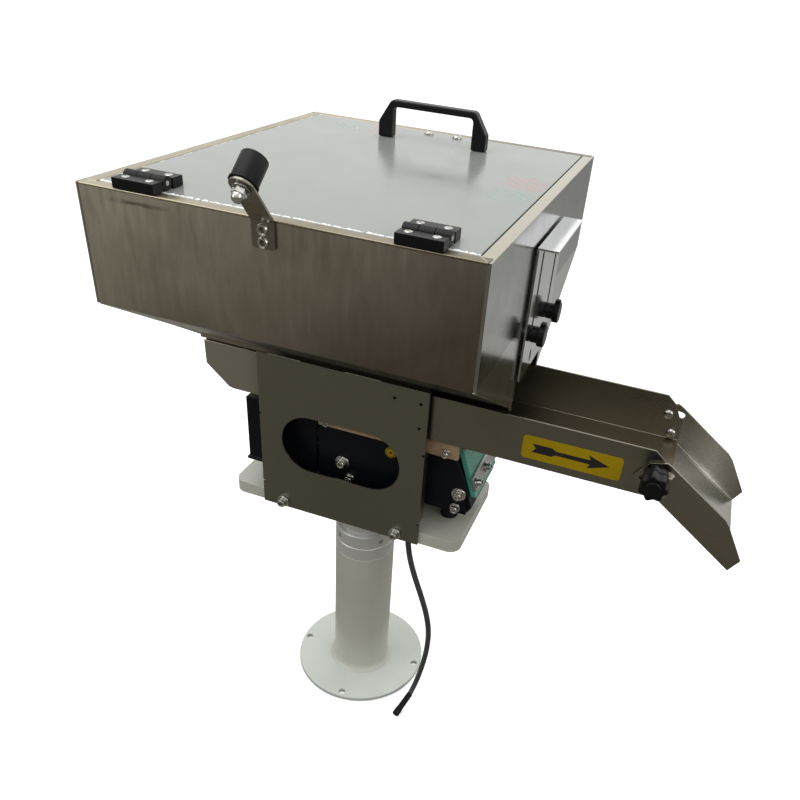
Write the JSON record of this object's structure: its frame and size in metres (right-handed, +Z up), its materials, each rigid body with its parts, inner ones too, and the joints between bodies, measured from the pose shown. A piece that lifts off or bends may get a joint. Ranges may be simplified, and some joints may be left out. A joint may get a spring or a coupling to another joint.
{
  "type": "hopper feeder",
  "caption": "Vibratory hopper feeder: a lidded stainless hopper with a sliding gate over a shaking trough and tilting spout, on a round swivelling pedestal.",
  "frame": {"origin": "middle of the underside of the round foot, on the floor", "axes": "+X along the flow from the hopper to the spout, +Y towards the side away from the lid's hinges, +Z up the column"},
  "size_m": [0.601, 0.4453, 0.7343],
  "materials": {
    "cream_paint": "satin cream powder coat",
    "turned_aluminium": "turned, satin",
    "brushed_stainless": "brushed stainless sheet",
    "black_paint": "satin black paint",
    "core_steel": "plain ground steel",
    "coil_copper": "enamelled copper winding, taped",
    "green_glass_fibre": "glass-fibre laminate, satin gloss",
    "cast_aluminium": "as cast, fine blasted",
    "tan_laminate": "phenolic laminate",
    "black_plastic": "moulded nylon, fine texture",
    "clear_lid": "grey-green clear acrylic under its film",
    "black_rubber": "moulded rubber",
    "bright_screws": "bright zinc and stainless",
    "cord_jacket": "grey-black vinyl jacket"
  },
  "bodies": {
    "pedestal": {"base_flange": "cream_paint", "pedestal_tube": "cream_paint", "insert_ring": "turned_aluminium"},
    "lock_ring": {"lock_ring": "turned_aluminium"},
    "spindle": {"height_spindle": "turned_aluminium"},
    "head": {"base_plate": "cream_paint", "front_bracket": "brushed_stainless", "back_bracket": "brushed_stainless", "bracket_screw_1": "bright_screws", "bracket_screw_2": "bright_screws", "bracket_screw_3": "bright_screws", "bracket_screw_4": "bright_screws", "vib_base_block": "black_paint", "rubber_foot_1": "black_rubber", "rubber_foot_2": "black_rubber", "rubber_foot_3": "black_rubber", "rubber_foot_4": "black_rubber", "vib_side_plate_front": "black_paint", "vib_side_plate_back": "black_paint", "vib_end_housing": "black_paint", "magnet_core": "core_steel", "magnet_coil": "coil_copper", "spring_pack_left": "green_glass_fibre", "spring_pack_right": "green_glass_fibre", "lower_clamp_left": "cast_aluminium", "lower_clamp_right": "cast_aluminium", "hopper_front_plate": "brushed_stainless", "hopper_back_plate": "brushed_stainless", "hopper_left_wall": "brushed_stainless", "hopper_right_wall": "brushed_stainless", "magnet_catch": "black_plastic", "hinge_rim_leaf_left": "black_plastic", "hinge_rim_leaf_right": "black_plastic", "hinge_pin_left": "bright_screws", "hinge_pin_right": "bright_screws", "stop_bracket": "brushed_stainless", "stop_bumper": "black_rubber", "cable_gland": "black_plastic", "power_cord": "cord_jacket", "cord_connector": "black_plastic"},
    "trough": {"trough": "brushed_stainless", "top_block": "core_steel", "top_bar_front": "tan_laminate", "top_bar_back": "tan_laminate", "upper_clamp_left": "cast_aluminium", "upper_clamp_right": "cast_aluminium", "armature": "core_steel", "pivot_screw_front": "bright_screws", "pivot_screw_back": "bright_screws", "tilt_screw_back": "bright_screws", "knob_stud": "bright_screws"},
    "spout": {"spout": "brushed_stainless"},
    "star_knob": {"star_knob": "black_plastic"},
    "gate": {"gate_plate": "brushed_stainless"},
    "gate_knob_front": {"gate_knob_front": "black_plastic"},
    "gate_knob_back": {"gate_knob_back": "black_plastic"},
    "lid": {"lid_panel": "clear_lid", "lid_handle": "black_plastic", "hinge_lid_leaf_left": "black_plastic", "hinge_lid_leaf_right": "black_plastic"}
  },
  "joints": [
    {"name": "lock_ring_turn", "type": "hinge", "parent": "pedestal", "child": "lock_ring", "pos_m": [0, 0, 0.239], "axis": [0, 0, 1], "range_deg": [-90, 90]},
    {"name": "head_height", "type": "slide", "parent": "pedestal", "child": "spindle", "axis": [0, 0, 1], "range_m": [0, 0.06]},
    {"name": "head_swivel", "type": "hinge", "parent": "spindle", "child": "head", "pos_m": [0, 0, 0.29], "axis": [0, 0, 1], "range_deg": [-90, 90]},
    {"name": "trough_vibration", "type": "slide", "parent": "head", "child": "trough", "axis": [0.9432, 0, 0.3322], "range_m": [-0.0005, 0.0005], "stiffness_N_per_m": 300000},
    {"name": "spout_tilt", "type": "hinge", "parent": "trough", "child": "spout", "pos_m": [0.3338, 0, 0.441], "axis": [0, 1, 0], "range_deg": [-30, 30]},
    {"name": "star_knob_turn", "type": "hinge", "parent": "trough", "child": "star_knob", "pos_m": [0.326, -0.08, 0.463], "axis": [0, 1, 0], "range_deg": [-180, 180]},
    {"name": "gate_slide", "type": "slide", "parent": "head", "child": "gate", "axis": [0, 0, -1], "range_m": [0, 0.062]},
    {"name": "gate_knob_front_turn", "type": "hinge", "parent": "head", "child": "gate_knob_front", "pos_m": [0.187, -0.033, 0.5615], "axis": [1, 0, 0], "range_deg": [-180, 180]},
    {"name": "gate_knob_back_turn", "type": "hinge", "parent": "head", "child": "gate_knob_back", "pos_m": [0.187, 0.033, 0.5615], "axis": [1, 0, 0], "range_deg": [-180, 180]},
    {"name": "lid_hinge", "type": "hinge", "parent": "head", "child": "lid", "pos_m": [0, -0.187, 0.688], "axis": [1, 0, 0], "range_deg": [0, 130]}
  ]
}
